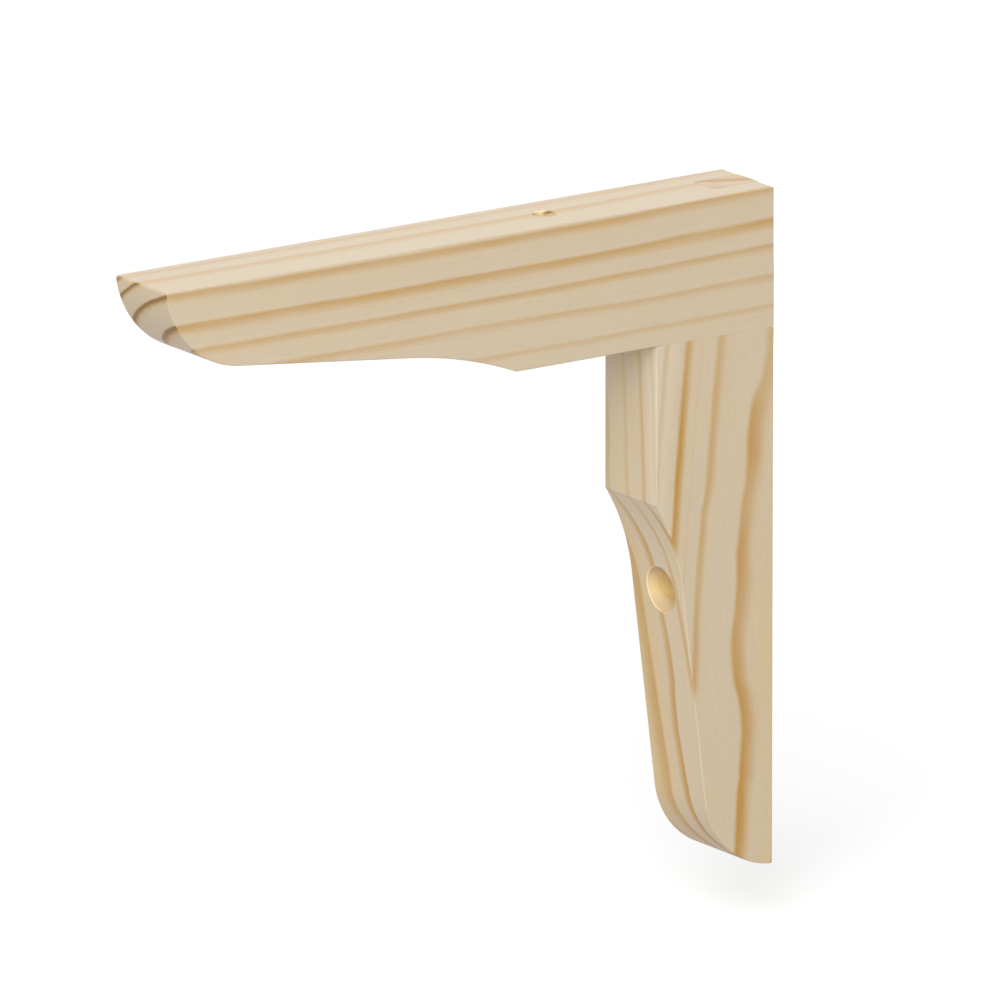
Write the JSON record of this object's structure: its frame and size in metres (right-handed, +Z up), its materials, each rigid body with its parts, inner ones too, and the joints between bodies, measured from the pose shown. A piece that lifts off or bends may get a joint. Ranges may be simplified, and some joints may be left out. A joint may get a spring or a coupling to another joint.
{
  "type": "wooden corbel bracket",
  "caption": "Plain pine shelf bracket: a horizontal arm bridled onto a shaped wall leg, both with a cove, a taper and a rounded end, with counterbored screw holes.",
  "frame": {"origin": "on the wall plane, at the mid-thickness of the bracket, level with the top face that carries the shelf", "axes": "+Z up, +Y into the wall, so the arm points to -Y, and X across the bracket's thickness"},
  "size_m": [0.028, 0.23, 0.22],
  "materials": {
    "arm_pine": "bare planed pine, unvarnished",
    "leg_pine": "bare planed pine, unvarnished"
  },
  "bodies": {
    "root": {"arm": "arm_pine", "leg": "leg_pine"}
  },
  "joints": []
}
